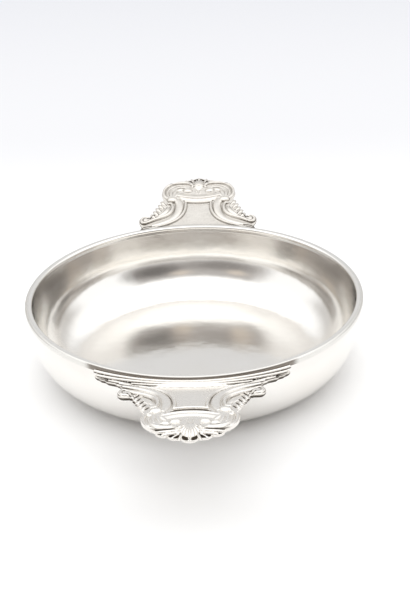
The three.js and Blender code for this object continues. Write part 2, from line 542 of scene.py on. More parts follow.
@dataclass(frozen=True)
class RaisedSilver(SilverFinish):
    """Bowl metal: scratched and turned, its wire worn, with film high inside and painted shade on the wire
    where each ear meets it.
    """

    worn: Colour = (0.76, 0.75, 0.72, 1.0)
    film: Colour = (0.79, 0.765, 0.735, 1.0)
    # Painted shade: dark brown for the crevice on the wire's outer side where each ear meets it
    crevice_shade_brown: Colour = (0.13, 0.1, 0.075, 1.0)
    stain_share: float = 0.35
    worn_share: float = 0.7
    crevice_shade_share: float = 0.8
    stain_waves: float = 22.0
    turning_waves: float = 60.0
    relief_waves: float = 70.0
    inside_radius: float = 82.9 * MM
    inside_edge: float = 0.3 * MM
    worn_edge: float = 0.5 * MM
    film_from: float = 27.5 * MM
    film_full: float = 32 * MM
    wire_bottom: float = 36.9 * MM
    wire_edge: float = 0.1 * MM
    # Where the painted crevice shade lies on the wire's outer side, and how far it spreads about each ear
    crevice_shade_radius: float = 84.3 * MM
    crevice_shade_edge: float = 0.3 * MM
    crevice_shade_half_width: float = 50 * MM
    crevice_shade_fade: float = 4 * MM

    def material(self) -> bpy.types.Material:
        """Build the finish.

        Returns:
            The material.
        """
        material, graph = new_material(Slot.RAISED.value)
        place = graph.add("ShaderNodeTexCoord", outlet="Object")
        x, y, z = graph.parts(place)
        radius = (x * x + y * y).root()
        around = y.angle_over(x)

        turning = graph.noise(graph.vector(around * 0.35, radius * 14, z * 14), self.turning_waves, 3.0)
        soft = graph.noise(place, self.stain_waves, 3.0)
        waviness = graph.noise(place, self.relief_waves, 2.0)
        scratches = self._scratches(graph, place, 0.5).at_least(self._scratches(graph, place, 2.0))

        stain = graph.step(soft, 0.45, 0.8)
        wire = graph.step(z, self.wire_bottom, self.wire_bottom + self.wire_edge)
        inside = graph.step(radius, self.inside_radius + self.inside_edge, self.inside_radius)
        upper = graph.step(z, self.film_from, self.film_full) * (1 - wire) * inside
        worn = wire * graph.step(radius, self.inside_radius, self.inside_radius + self.worn_edge)
        # Painted shade of the crevice between the wire and each ear, on the wire's outer side
        crevice_shade = wire * graph.step(radius, self.crevice_shade_radius, self.crevice_shade_radius + self.crevice_shade_edge)
        crevice_shade = crevice_shade * graph.step(abs(x), self.crevice_shade_half_width, self.crevice_shade_half_width - self.crevice_shade_fade)

        colour = graph.blend(stain * self.stain_share, self.bright, self.dull)
        colour = graph.blend(upper, colour, self.film)
        colour = graph.blend(worn * self.worn_share, colour, self.worn)
        colour = graph.blend(crevice_shade * self.crevice_shade_share, colour, self.crevice_shade_brown)
        roughness = self.polish + soft * 0.05 + turning * 0.03 + scratches * 0.12 + worn * 0.12
        height = turning * 0.01 + waviness - scratches * 0.01
        self._metal(graph, colour, roughness, height)
        return material


@dataclass(frozen=True)
class CastSilver(SilverFinish):
    """Ear metal: bright on its high places, with film and then oxide as a recess gets deeper, and the same
    darkening laid as painted shade where that is marked.
    """

    oxide_and_shade: Colour = (0.075, 0.06, 0.045, 1.0)
    film_share: float = 0.8
    polish: float = 0.22
    relief: float = 0.03 * MM
    relief_strength: float = 0.25
    mottle_waves: float = 900.0
    grain_waves: float = 2600.0
    depth_and_shade: str = "depth_and_shade"
    film_from: float = -0.45
    film_full: float = 0.5
    oxide_and_shade_from: float = 0.25
    oxide_and_shade_full: float = 0.95

    def material(self) -> bpy.types.Material:
        """Build the finish.

        Returns:
            The material.
        """
        material, graph = new_material(Slot.CAST.value)
        place = graph.add("ShaderNodeTexCoord", outlet="Object")
        depth_and_shade = graph.add("ShaderNodeAttribute", settings={"attribute_name": self.depth_and_shade}, outlet="Fac")
        mottle = graph.noise(place, self.mottle_waves, 3.0)
        grain = graph.noise(place, self.grain_waves, 2.0)
        scratches = self._scratches(graph, place, 1.1)

        # Oxide in the hollows and painted shade both darken the metal through this attribute
        dark = graph.step(depth_and_shade + (mottle - 0.5) * 0.25, self.oxide_and_shade_from, self.oxide_and_shade_full)
        film = graph.step(depth_and_shade + (mottle - 0.5) * 0.35, self.film_from, self.film_full)
        colour = graph.blend(film * self.film_share, self.bright, self.dull)
        colour = graph.blend(dark, colour, self.oxide_and_shade)
        roughness = self.polish + film * 0.08 + dark * 0.2 + scratches * 0.08
        height = grain * 0.25 + mottle * 0.4 - scratches * 0.15
        self._metal(graph, colour, roughness, height)
        return material


def fit_out(piece: Piece, material: bpy.types.Material, node: str) -> None:
    """Give a piece its material and its place in the frame.

    Args:
        piece: Finished piece.
        material: Its material.
        node: CAD node that it stands for.
    """
    piece.data.materials.clear()
    piece.data.materials.append(material)
    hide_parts(node)
    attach(piece, BODY)
    log.info("%s: %d faces, stands for %s", piece.name, len(piece.data.polygons), node)


# Bowl and rim


@dataclass
class Bowl:
    """The raised bowl and the wire soldered on its lip."""

    finish: RaisedSilver = field(default_factory=RaisedSilver)
    rim_radius: float = 85 * MM
    height: float = 40 * MM
    foot_radius: float = 50 * MM
    wall_thickness: float = 1.4 * MM
    wall_squareness: float = 2.45
    wire_width: float = 3.2 * MM
    wire_spread: float = 3.7 * MM
    wire_squareness: float = 3.0
    wall_inset: float = 1 * MM
    seat_clearance: float = 0.3 * MM
    lip_in_wire: float = 0.7 * MM
    upright_from: float = 26 * MM
    upright_lean: float = math.radians(1.6)
    upright_blend: float = 1.0 * MM
    turn_steps: int = 288
    wall_steps: int = 44
    floor_rings: int = 5
    wire_sides: int = 40

    @property
    def lip_radius(self) -> float:
        """Outside radius of the wall at its lip."""
        return self.rim_radius - self.wall_inset

    @property
    def lip_height(self) -> float:
        """Height of the lip, just under the wire."""
        return self.height - self.wire_width - self.seat_clearance

    def wall_curve(self, top_radius: float, bottom: float) -> list[Pair]:
        """Quarter of a superellipse, from the edge of the flat bottom up to the lip.

        Args:
            top_radius: Radius at the lip.
            bottom: Height at the flat bottom.

        Returns:
            Radius and height of its points.
        """
        power = 2 / self.wall_squareness
        points = []
        for i in range(self.wall_steps + 1):
            turn = i / self.wall_steps * math.pi / 2
            radius = self.foot_radius + (top_radius - self.foot_radius) * math.sin(turn) ** power
            height = self.lip_height - (self.lip_height - bottom) * math.cos(turn) ** power
            points.append((radius, height))
        return points

    def straightened(self, wall: list[Pair]) -> list[Pair]:
        """Draw the top of the inside wall nearly upright, with a soft bend below it.

        Args:
            wall: Radius and height of the wall's points, from the bottom up.

        Returns:
            The same points with the upper ones moved inward.
        """
        start = max(radius for radius, height in wall if height <= self.upright_from)
        lean = math.tan(self.upright_lean)
        points = []
        for radius, height in wall:
            limit = start + (height - self.upright_from) * lean
            rounding = math.hypot(radius - limit, self.upright_blend)
            points.append(((radius + limit - rounding) / 2, height))
        return points

    def flat_rings(self, height: float) -> list[Pair]:
        """Radius and height of points across a flat bottom, from the axis to just short of its edge."""
        step = self.foot_radius / (self.floor_rings + 1)
        return [(i * step, height) for i in range(self.floor_rings + 1)]

    def build_body(self) -> Piece:
        """Spin the wall and the flat bottom.

        Returns:
            The bowl's body.
        """
        thickness = self.wall_thickness
        outside = self.wall_curve(self.lip_radius, 0)
        inside = self.straightened(self.wall_curve(self.lip_radius - thickness, thickness))
        top = self.lip_height + self.lip_in_wire + self.seat_clearance
        lip = [(self.lip_radius, top), (inside[-1][0], top)]
        profile = self.flat_rings(0) + outside + lip + inside[::-1] + self.flat_rings(thickness)[::-1]
        return turned("bowl_body_silver", profile, self.turn_steps)

    def build_wire(self) -> Piece:
        """Spin the wire, its round section flattened where it was dressed down.

        Returns:
            The rim wire.
        """
        half_width = self.wire_spread / 2
        half_height = self.wire_width / 2
        power = 2 / self.wire_squareness
        profile = []
        for i in range(self.wire_sides + 1):
            angle = i / self.wire_sides * FULL_TURN
            cosine = math.cos(angle)
            sine = math.sin(angle)
            across = self.rim_radius - half_width * (1 - math.copysign(abs(cosine) ** power, cosine))
            up = self.height - half_height * (1 - math.copysign(abs(sine) ** power, sine))
            profile.append((across, up))
        return turned("rim_wire_silver", profile, self.turn_steps)

    def build(self) -> None:
        """Build both pieces and dress them."""
        material = self.finish.material()
        for piece, node in ((self.build_body(), "bowl_body"), (self.build_wire(), "rim_wire")):
            fit_out(piece, material, node)


# Ears

# Ridges that sweep out over the shell: across, outward, radius and height of four points, in millimetres
SHELL_RIDGES = (
    ((4.2, 48.8, 0.5, -0.7), (7.8, 49.9, 0.85, -0.8), (11.8, 50.2, 0.85, -1.0), (15.4, 49.0, 0.6, -1.6)),
    ((4.2, 50.0, 0.5, -1.3), (7.4, 51.2, 0.7, -1.4), (10.2, 51.6, 0.75, -1.6), (12.0, 52.0, 0.7, -2.0)),
    ((4.4, 50.8, 0.4, -1.7), (5.9, 52.2, 0.45, -1.8), (7.0, 53.3, 0.45, -2.0), (7.9, 54.2, 0.4, -2.2)),
    ((3.0, 50.8, 0.5, -1.6), (3.7, 52.8, 0.7, -1.8), (4.2, 54.6, 0.7, -2.1), (4.5, 55.7, 0.6, -2.3)),
)


def path(*points: Pair) -> list[Vector]:
    """Plan points in metres, from pairs of millimetres across and outward."""
    return [Vector(point) * MM for point in points]


def arch(middle: float, rise: float, across: Sequence[float]) -> list[Vector]:
    """Plan points of a line across the neck, bent outward by rise for each square millimetre across."""
    return path(*((x, middle + rise * x * x) for x in across))


def smooth(points: Line, steps: int) -> list[Vector]:
    """Smooth run of points through the given ones.

    Args:
        points: Points to pass through.
        steps: Steps between each two of them.

    Returns:
        The points of the run, the first and the last among them.
    """
    ends = [2 * points[0] - points[1], *points, 2 * points[-1] - points[-2]]
    run = []
    for before, start, end, after in zip(ends, ends[1:], ends[2:], ends[3:]):
        for i in range(steps):
            t = i / steps
            point = 2 * start + (end - before) * t
            point += (2 * before - 5 * start + 4 * end - after) * t**2
            point += (3 * start - before - 3 * end + after) * t**3
            run.append(0.5 * point)
    return run + [points[-1].copy()]


@dataclass(frozen=True)
class EarPlan:
    """Plan of an ear, across from its middle line and outward from the rim's edge."""

    rim_radius: float = 85 * MM
    wing_reach: float = 45 * MM
    shell_out: float = 44 * MM
    shell_length: float = 13.2 * MM
    shell_reach: float = 17 * MM
    leaf_foot: Vector = Vector((19.7, 30.2)) * MM
    leaf_head: Vector = Vector((26.2, 13.6)) * MM
    leaf_teeth: int = 5
    tooth_depth: float = 1.7 * MM
    tooth_tip: Vector = Vector((0.5, 0.15))
    tooth_root: Vector = Vector((-0.55, -0.75))

    def beside_rim(self, share: float, outward: float) -> Vector:
        """Point beside the rim.

        Args:
            share: Share of the way from the middle line to the wing's tip.
            outward: Distance from the rim's edge.

        Returns:
            The plan point.
        """
        angle = share * math.asin(self.wing_reach / self.rim_radius)
        radius = self.rim_radius + outward
        return Vector((radius * math.sin(angle), radius * math.cos(angle) - self.rim_radius))

    def shell(self, angle: float, bite: float) -> Vector:
        """Point on the shell.

        Args:
            angle: Angle from the middle line.
            bite: How far the point lies short of the shell's full reach.

        Returns:
            The plan point.
        """
        across = self.shell_reach - bite
        outward = self.shell_length - bite
        return Vector((across * math.sin(angle), self.shell_out + outward * math.cos(angle)))

    def tooth(self, index: int) -> tuple[Vector, Vector]:
        """Tip and root of a tooth of the leaf.

        Args:
            index: Number of the tooth, counted from the lobe towards the rim.

        Returns:
            Both plan points.
        """
        share = (index + 0.5) / self.leaf_teeth
        middle = self.leaf_foot.lerp(self.leaf_head, share)
        return middle + self.tooth_tip * self.tooth_depth, middle + self.tooth_root * self.tooth_depth


@dataclass
class Ear:
    """One cast ear: a solid plate with reeds, leaves, scrolls, lobes and a scalloped shell on it."""

    finish: CastSilver = field(default_factory=CastSilver)
    plan: EarPlan = field(default_factory=EarPlan)
    # Where each ear sits
    front_tilt: float = math.radians(7.8)
    rear_tilt: float = math.radians(9.5)
    front_turn: float = math.radians(0.25)
    rear_turn: float = math.radians(-0.4)
    seat_height: float = 37 * MM
    # Plate and shell: a scallop is its middle's angle in degrees and its shortfall in millimetres
    ground: float = -0.4 * MM
    plate_edge: float = 1.0 * MM
    plate_belly: float = 1.0 * MM
    root_inward: float = 1.5 * MM
    shell_ground: float = -2.7 * MM
    shell_edge: float = 0.4 * MM
    shell_belly: float = 0.3 * MM
    shell_curl: float = 0.4 * MM
    shell_sweep: int = 81
    edge_step: int = 3
    scallops: tuple[Pair, ...] = ((0.0, 0.0), (28.5, 1.1), (57.5, 0.3))
    scallop_half: float = 15.0
    scallop_depth: float = 1.7 * MM
    # Casting
    grain: float = 0.26 * MM
    fettling: int = 4
    groove_depth: float = 0.22 * MM
    most_triangles: int = 190_000
    # How the recesses and the painted shade are marked for the finish
    soft_copy: int = 30
    recess_scale: float = 0.3 * MM
    steep_from: float = 0.3
    steep_fade: float = 0.4
    # Painted shade on the steep side faces of the ear near the bowl
    side_shade_mark: float = 0.9
    side_shade_reach: float = 30 * MM
    side_shade_fade: float = 10 * MM
    pocket_mark: float = 0.95
    pocket_rise: float = 0.52 * MM
    pocket_fade: float = 0.3 * MM
    groove_mark: float = 0.75
    under_from: float = -0.2
    # Painted shade on the strip of the ear beside its joint with the rim wire, away from the wings
    crevice_shade_mark: float = 0.42
    crevice_shade_reach: float = 3.6 * MM
    crevice_shade_fade: float = 1.6 * MM
    wing_mark: float = 0.15
    wing_gain: float = 1.5
    wing_start: float = 22 * MM
    wing_fade: float = 12 * MM
    # The rear ear: its recesses weakened and painted shade laid evenly over it
    rear_depth: float = 0.6
    rear_painted_shade: float = 0.35
    # What has been laid on the plate and punched into it so far
    parts: list[Piece] = field(default_factory=list)
    grooves: list[tuple[np.ndarray, float, float]] = field(default_factory=list)

    # Plate and shell

    def plate_outline(self) -> list[Vector]:
        """Outline of the plate.

        Returns:
            Its plan points in order.
        """
        plan = self.plan
        lobe = path((14.8, 48.9), (17.4, 47.6), (19.8, 44.3), (21.15, 39.5), (21.2, 35.5), (19.9, 31.5))
        volute = path(
            (26.6, 13.5), (30.4, 13.5), (32.5, 12.2), (33.2, 9.4), (32.7, 6.3), (31.6, 3.4), (31.9, 1.4)
        )
        wing = (
            (0.66, 5.9), (0.695, 5.3), (0.71, 4.7), (0.8, 4.4), (0.825, 3.7),
            (0.835, 3.0), (0.9, 2.7), (0.92, 1.8), (0.97, 1.35), (1.0, 0.0),
        )
        root_steps = 8
        half = smooth(lobe, 4)
        for i in range(plan.leaf_teeth):
            half.extend(plan.tooth(i))
        half += smooth(volute, 3)
        half += [plan.beside_rim(share, out * MM) for share, out in wing]
        half += [plan.beside_rim(i / root_steps, -self.root_inward) for i in range(root_steps, 0, -1)]
        other = [Vector((-point.x, point.y)) for point in reversed(half)]
        return half + [plan.beside_rim(0, -self.root_inward)] + other

    def scallop_bite(self, angle: float) -> float:
        """How far the shell's edge falls short at an angle in degrees, for its five broad scallops."""
        off, short = min((abs(abs(angle) - middle), short) for middle, short in self.scallops)
        return short * MM + self.scallop_depth * min(off / self.scallop_half, 1.0) ** 2

    def shell_level(self, across: float) -> float:
        """Height of the shell's ground at a distance across: it curls up a little at its sides."""
        return self.shell_ground + self.shell_curl * min(abs(across) / self.plan.shell_length, 1.0)

    def shell_edge_line(self, inset: float) -> list[Vector]:
        """Scalloped edge of the shell, or a line that runs inside it.

        Args:
            inset: Distance inside the edge.

        Returns:
            Its plan points from one side to the other.
        """
        angles = range(-self.shell_sweep, self.shell_sweep + 1, self.edge_step)
        return [self.plan.shell(math.radians(angle), self.scallop_bite(angle) + inset) for angle in angles]

    def shell_outline(self) -> list[Vector]:
        """Plan points of the shell's ground, in order."""
        under = Vector((0.6 * self.plan.shell_reach, self.plan.shell_out - 1.3 * MM))
        return self.shell_edge_line(0.2 * MM) + [under, Vector((-under.x, under.y))]

    # Ornament

    def draw(
        self,
        points: Line,
        radii: Sequence[float] | float,
        heights: Sequence[float] | float,
        both_sides: bool = True,
        flatness: float = 1.0,
    ) -> None:
        """Lay a rod on the ear.

        Args:
            points: Plan points that it passes through.
            radii: Its radius, in millimetres, at each point or all along.
            heights: Height of its middle, in millimetres, at each point or all along.
            both_sides: Whether its mirror image is laid too.
            flatness: Height of its section as a share of its width.
        """
        count = len(points)
        widths = [radii] * count if isinstance(radii, (int, float)) else radii
        levels = [heights] * count if isinstance(heights, (int, float)) else heights
        for side in (1, -1) if both_sides else (1,):
            line = [Vector((side * point.x, point.y)) for point in points]
            self.parts.append(rod(line, [w * MM for w in widths], [h * MM for h in levels], flatness))

    def chase(
        self, points: Line, half_width: float, strength: float = 1.0, both_sides: bool = True
    ) -> None:
        """Mark a line that is punched into the casting.

        Args:
            points: Plan points that it passes through.
            half_width: Half of its width, in millimetres.
            strength: How deep and dark it is.
            both_sides: Whether its mirror image is punched too.
        """
        line = np.array([tuple(point) for point in smooth(points, 4)])
        for side in (1, -1) if both_sides else (1,):
            self.grooves.append((line * (side, 1), half_width * MM, strength))

    def place_bud(self, place: Pair, height: float, radii: Triple, turn: float = 0.0) -> None:
        """Lay a bud on both sides of the ear.

        Args:
            place: Plan point of its middle, in millimetres.
            height: Height of its middle, in millimetres.
            radii: Half of its length, width and height, in millimetres.
            turn: Angle of its length from across.
        """
        size = tuple(radius * MM for radius in radii)
        for side in (1, -1):
            middle = Vector((side * place[0], place[1])) * MM
            self.parts.append(bud(middle, height * MM, size, side * turn))

    def rim_reeds(self) -> None:
        """Reeds that step down from the rim to the panel, and part along each wing."""
        # Distance outward and height at the middle and at the end, both radii, and how far it reaches
        lines = (
            ((1.25, 1.15), (0.9, 2.3), 1.0, 0.9, 0.985),
            ((2.25, 0.6), (2.4, 1.1), 0.95, 0.7, 0.93),
            ((3.2, 0.1), (4.0, 0.3), 0.85, 0.55, 0.56),
            ((4.0, -0.3), (4.9, -0.2), 0.7, 0.3, 0.38),
        )
        steps = 10
        for (out, height), (end_out, end_height), radius, end_radius, reach in lines:
            points = []
            widths = []
            levels = []
            for i in range(-steps, steps + 1):
                share = abs(i) / steps
                spread = share * share
                outward = out + (end_out - out) * spread
                points.append(self.plan.beside_rim(i / steps * reach, outward * MM))
                widths.append(radius + (end_radius - radius) * spread)
                levels.append(height + (end_height - height) * spread)
            self.draw(points, widths, levels, both_sides=False)

    def feathers(self) -> None:
        """Two stepped tips along the lower edge of a wing."""
        tips = (
            (0.0, ((0.56, 4.1), (0.7, 3.6), (0.8, 3.0))),
            (-0.15, ((0.46, 5.3), (0.58, 4.9), (0.68, 4.1))),
        )
        for height, run in tips:
            points = [self.plan.beside_rim(share, out * MM) for share, out in run]
            self.draw(points, [0.45, 0.55, 0.5], [height, height, height - 0.1])

    def frame_reeds(self) -> None:
        """Thin reed that frames the plain panel, and the broad stalk beside it."""
        reed = path(
            (27.0, 1.2), (20.0, 3.9), (15.0, 7.0), (11.3, 10.6), (8.8, 15.0), (7.4, 20.5), (7.1, 27.2)
        )
        widths = [0.35, 0.6, 0.7, 0.75, 0.8, 0.8, 0.7]
        levels = [0.0, 0.05, 0.05, 0.05, 0.05, 0.0, -0.1]
        self.draw(reed, widths, levels)
        stalk = path(
            (31.0, 1.6), (25.5, 3.8), (20.0, 6.6), (15.6, 9.9),
            (12.4, 14.6), (11.0, 20.0), (10.9, 26.0), (12.8, 30.8),
        )
        widths = [1.2, 1.5, 1.6, 1.8, 2.1, 2.3, 2.3, 2.0]
        levels = [0.4, 0.2, 0.0, -0.3, -0.5, -0.6, -0.6, -0.5]
        self.draw(stalk, widths, levels, flatness=0.45)
        self.chase(path((34.4, -1.2), (31.4, 1.0), (28.4, 2.2), (25.8, 3.0)), 0.5)

    def leaf(self) -> None:
        """Leaf beside the neck: its rolled upper edge, the volute at its tip and its flat teeth."""
        rolled = path(
            (28.3, 7.6), (25.0, 9.8), (21.5, 11.7), (18.2, 14.0), (15.7, 17.2),
            (14.7, 20.8), (14.8, 24.2), (15.9, 26.6), (17.6, 26.2),
        )
        self.draw(rolled, [0.8, 0.95, 1.05, 1.1, 1.05, 0.95, 0.85, 0.8, 0.6], -0.1)
        volute = path((28.3, 7.6), (30.4, 6.8), (31.7, 8.6), (31.3, 11.0), (29.4, 12.2), (27.6, 11.4))
        self.draw(volute, [0.8, 0.9, 0.9, 0.9, 0.85, 0.6], [-0.1, 0.0, 0.0, 0.0, -0.1, -0.2])
        self.place_bud((29.6, 9.9), -0.5, (3.0, 3.4, 1.1))
        self.place_bud((19.6, 18.4), -1.1, (7.0, 2.6, 1.2), math.radians(-50))
        self.chase(path((28.6, 10.6), (26.6, 12.8), (24.8, 15.0)), 0.5)
        self.chase(path((24.4, 13.0), (21.4, 16.0), (19.0, 19.8), (17.7, 24.0)), 0.45, 0.45)
        self.chase(path((21.4, 13.4), (18.0, 16.4), (16.6, 20.4), (16.6, 24.0)), 0.4, 0.35)
        outward = Vector((0.55, 0.83))
        for i in range(self.plan.leaf_teeth):
            tip, notch = self.plan.tooth(i)
            root = tip - outward * 4.6 * MM
            middle = tip.lerp(root, 0.5) + Vector((0.3, -0.2)) * MM
            self.draw([root, middle, tip], [0.6, 1.1, 0.95], [-0.5, -0.3, -0.65], flatness=0.8)
            start = notch + Vector((0.3, 0.45)) * MM
            self.chase([start, start - outward * 2.6 * MM], 0.4, 0.8)

    def bar(self) -> None:
        """Two beads across the end of the panel, and the broad bar that slopes to the lobes."""
        for out, radius, height in ((25.4, 0.35, -0.3), (27.3, 0.85, -0.1)):
            self.draw(arch(out, 0.018, (-7.8, -4, 0, 4, 7.8)), radius, height, both_sides=False)
        self.chase(arch(28.7, 0.018, (-8.6, -4, 0, 4, 8.6)), 0.6, both_sides=False)
        across = (-12.8, -8, -4, 0, 4, 8, 12.8)
        widths = [0.8, 0.95, 1.0, 1.0, 1.0, 0.95, 0.8]
        self.draw(arch(32.2, 0.02, across), widths, -0.2, both_sides=False)
        self.draw(arch(32.8, 0.022, across), 3.6, -1.3, both_sides=False, flatness=0.45)

    def lobe(self) -> None:
        """Border of a lobe, which turns in beside the shell, and the thin reed inside it."""
        border = path(
            (17.2, 31.6), (19.5, 34.6), (20.2, 38.8), (19.4, 43.0), (17.3, 46.3), (14.2, 48.0),
            (10.0, 48.4), (6.0, 48.0), (4.0, 46.6), (3.7, 44.6), (4.8, 43.4),
        )
        self.draw(border, [0.8, 0.85, 0.85, 0.85, 0.9, 0.9, 0.9, 0.85, 0.75, 0.65, 0.5], -0.2)
        self.chase(path((5.0, 47.7), (7.0, 48.8), (10.2, 49.4), (13.6, 49.0), (16.8, 47.0)), 0.55)
        inner = path((17.6, 35.5), (17.9, 39.4), (16.6, 42.9), (13.8, 45.2), (10.2, 46.0), (7.5, 45.6))
        self.draw(inner, [0.35, 0.5, 0.55, 0.55, 0.5, 0.35], -0.35)

    def sprig(self) -> None:
        """Boss where the leaf meets the lobe, and the small leaves that grow from it."""
        boss = (15.0, 30.2)
        self.place_bud(boss, 0.1, (3.0, 2.4, 1.4), 0.3)
        for place in ((17.4, 33.4), (12.4, 32.4)):
            self.place_bud(place, -0.6, (1.9, 1.9, 0.9))
        leaves = (
            ((12.2, 36.6), (9.4, 40.6), 1.2),
            ((13.8, 38.0), (12.2, 42.8), 1.1),
            ((16.0, 37.0), (15.4, 41.4), 0.95),
        )
        for bend, tip, radius in leaves:
            self.draw(path(boss, bend, tip), [radius, radius, 0.5], [-0.35, -0.45, -0.6], flatness=0.7)
        self.place_bud((6.3, 40.4), -0.4, (2.6, 2.0, 1.1), 0.35)
        self.place_bud((10.6, 41.6), -0.6, (2.0, 1.4, 0.9), -0.5)
        self.chase(path((8.2, 43.6), (10.6, 43.9), (12.6, 43.2)), 0.35)

    def husk(self) -> None:
        """Small husk between the lobes."""
        self.draw(path((0.6, 37.0), (1.3, 40.0), (2.1, 42.6)), [0.25, 0.5, 0.3], -0.5)

    def shell(self) -> None:
        """Shell: a ribbed dome, ridges that sweep out from it, and a raised scalloped edge."""
        middle = Vector((0, 46.2))
        width, length, rise = (4.7, 7.6, 2.8)
        foot = -2.5
        self.parts.append(bud(middle * MM, foot * MM, (width * MM, length * MM, rise * MM), 0.0))
        start = Vector((0, 43.6))
        for i in range(-4, 5):
            lean = math.radians(20 * i)
            end = middle + 0.99 * Vector((width * math.sin(lean), length * math.cos(lean)))
            line = [start.lerp(end, share) for share in (0.2, 0.5, 0.8, 1.0)]
            levels = []
            for point in line:
                away = (point.x / width) ** 2 + ((point.y - middle.y) / length) ** 2
                levels.append(foot + rise * math.sqrt(max(0.0, 1 - away)))
            self.draw([point * MM for point in line], [0.3, 0.4, 0.5, 0.5], levels, both_sides=False)
        for ridge in SHELL_RIDGES:
            across, outward, widths, levels = zip(*ridge)
            self.draw(path(*zip(across, outward)), widths, levels)
        self.draw(path((0, 52.8), (0, 55.0), (0, 56.6)), 0.85, -2.4, both_sides=False)
        edge = self.shell_edge_line(0.5 * MM)
        levels = [self.shell_level(point.x) / MM + 0.2 for point in edge]
        self.draw(edge, 0.4, levels, both_sides=False)

    # Casting

    def cast(self, name: str) -> Piece:
        """Fuse all that was laid on the plate into one skin and smooth it.

        Args:
            name: Name of the piece.

        Returns:
            The ear, still flat in its plan.
        """
        piece = joined(self.parts)
        piece.name = name
        piece.data.remesh_voxel_size = self.grain
        piece.data.remesh_voxel_adaptivity = 0.0
        bpy.ops.object.voxel_remesh()
        apply_modifier(piece, "SMOOTH", factor=0.5, iterations=self.fettling)
        points = vertex_array(piece, "co")
        points[:, 2] -= self.groove_depth * self.groove_share(points)
        piece.data.vertices.foreach_set("co", points.ravel())
        piece.data.update()
        bpy.ops.object.shade_smooth()
        return piece

    def groove_share(self, points: np.ndarray) -> np.ndarray:
        """How far each point lies in a groove.

        Args:
            points: Places on the flat ear.

        Returns:
            The groove's strength along its middle, and 0 beside it.
        """
        share = np.zeros(len(points))
        plan = points[:, :2]
        for line, half_width, strength in self.grooves:
            low = line.min(axis=0) - half_width
            high = line.max(axis=0) + half_width
            near = np.flatnonzero(((plan > low) & (plan < high)).all(axis=1))
            off = np.full(len(near), np.inf)
            for start, end in zip(line, line[1:]):
                run = end - start
                along = np.clip((plan[near] - start) @ run / (run @ run), 0, 1)
                foot = start + along[:, None] * run
                off = np.minimum(off, np.linalg.norm(plan[near] - foot, axis=1))
            share[near] = np.maximum(share[near], strength * np.clip(1 - (off / half_width) ** 2, 0, 1))
        return share

    def sunken(self, piece: Piece, points: np.ndarray, normals: np.ndarray) -> np.ndarray:
        """How deep each point lies under a smoothed copy of the ear.

        Args:
            piece: The ear.
            points: Places of its vertices.
            normals: Their normals.

        Returns:
            The depth, 1 at a full recess and below 0 on the high places.
        """
        pick(piece)
        bpy.ops.object.duplicate()
        soft = bpy.context.object
        apply_modifier(soft, "SMOOTH", factor=0.5, iterations=self.soft_copy)
        depth = ((vertex_array(soft, "co") - points) * normals).sum(axis=1) / self.recess_scale
        bpy.data.objects.remove(soft)
        return depth

    def mark_recesses_and_shade(self, piece: Piece) -> None:
        """Store how dark the finish gets at each point.

        It counts what lies deep, the shell's pockets, the grooves and the wings, and painted shade on the
        strip beside the joint with the rim wire and on the steep side faces near the bowl.

        Args:
            piece: The ear.
        """
        points = vertex_array(piece, "co")
        normals = vertex_array(piece, "normal")
        across = abs(points[:, 0])
        outward = points[:, 1]
        upward = normals[:, 2]

        steep = ramp(upward, self.steep_from, -self.steep_fade)
        # Painted shade on steep side faces near the bowl
        side_shade = self.side_shade_mark * steep * ramp(outward, self.side_shade_reach, -self.side_shade_fade)
        wing = ramp(across, self.wing_start, self.wing_fade)
        # Painted shade beside the joint with the rim wire
        crevice_shade = ramp(outward, self.crevice_shade_reach, -self.crevice_shade_fade) * (1 - wing)
        groove = self.groove_share(points) * (upward > self.under_from)
        level = np.array([self.shell_level(x) for x in across]) + self.pocket_rise
        on_shell = ramp(outward, self.plan.shell_out, MM)
        pocket = ramp(points[:, 2], level, -self.pocket_fade) * (1 - steep) * on_shell

        depth = self.sunken(piece, points, normals)
        depth = depth * (1 + self.wing_gain * wing * (depth > 0)) + self.wing_mark * wing
        marks = depth + self.pocket_mark * pocket + self.groove_mark * groove + self.crevice_shade_mark * crevice_shade
        depth_and_shade = piece.data.attributes.new(self.finish.depth_and_shade, "FLOAT", "POINT")
        depth_and_shade.data.foreach_set("value", np.maximum(marks, side_shade).astype(np.float32))

    def lighten(self, piece: Piece) -> None:
        """Merge the faces that add least to the shape until few enough are left.

        Args:
            piece: The ear, its recesses and painted shade stored.
        """
        triangles = sum(len(face.vertices) - 2 for face in piece.data.polygons)
        apply_modifier(piece, "DECIMATE", ratio=min(1.0, self.most_triangles / triangles))
        log.info("%s: %d of %d triangles kept", piece.name, len(piece.data.polygons), triangles)

    def shade_rear_copy(self, piece: Piece) -> None:
        """Paint even shade over the rear ear, and weaken its recesses.

        Args:
            piece: The ear.
        """
        depth_and_shade = piece.data.attributes[self.finish.depth_and_shade]
        values = np.empty(len(depth_and_shade.data), dtype=np.float32)
        depth_and_shade.data.foreach_get("value", values)
        depth_and_shade.data.foreach_set("value", values * self.rear_depth + self.rear_painted_shade)

    def seat(self, piece: Piece, tilt: float, turn: float) -> None:
        """Tilt an ear, set it against the rim and turn it about the bowl.

        Args:
            piece: The ear, flat in its plan.
            tilt: Rise of its plane away from the bowl.
            turn: Angle about the Z axis.
        """
        place = Matrix.Translation((0, self.plan.rim_radius, self.seat_height))
        piece.matrix_world = Matrix.Rotation(turn, 4, "Z") @ place @ Matrix.Rotation(tilt, 4, "X")
        pick(piece)
        bpy.ops.object.transform_apply(location=True, rotation=True, scale=True)

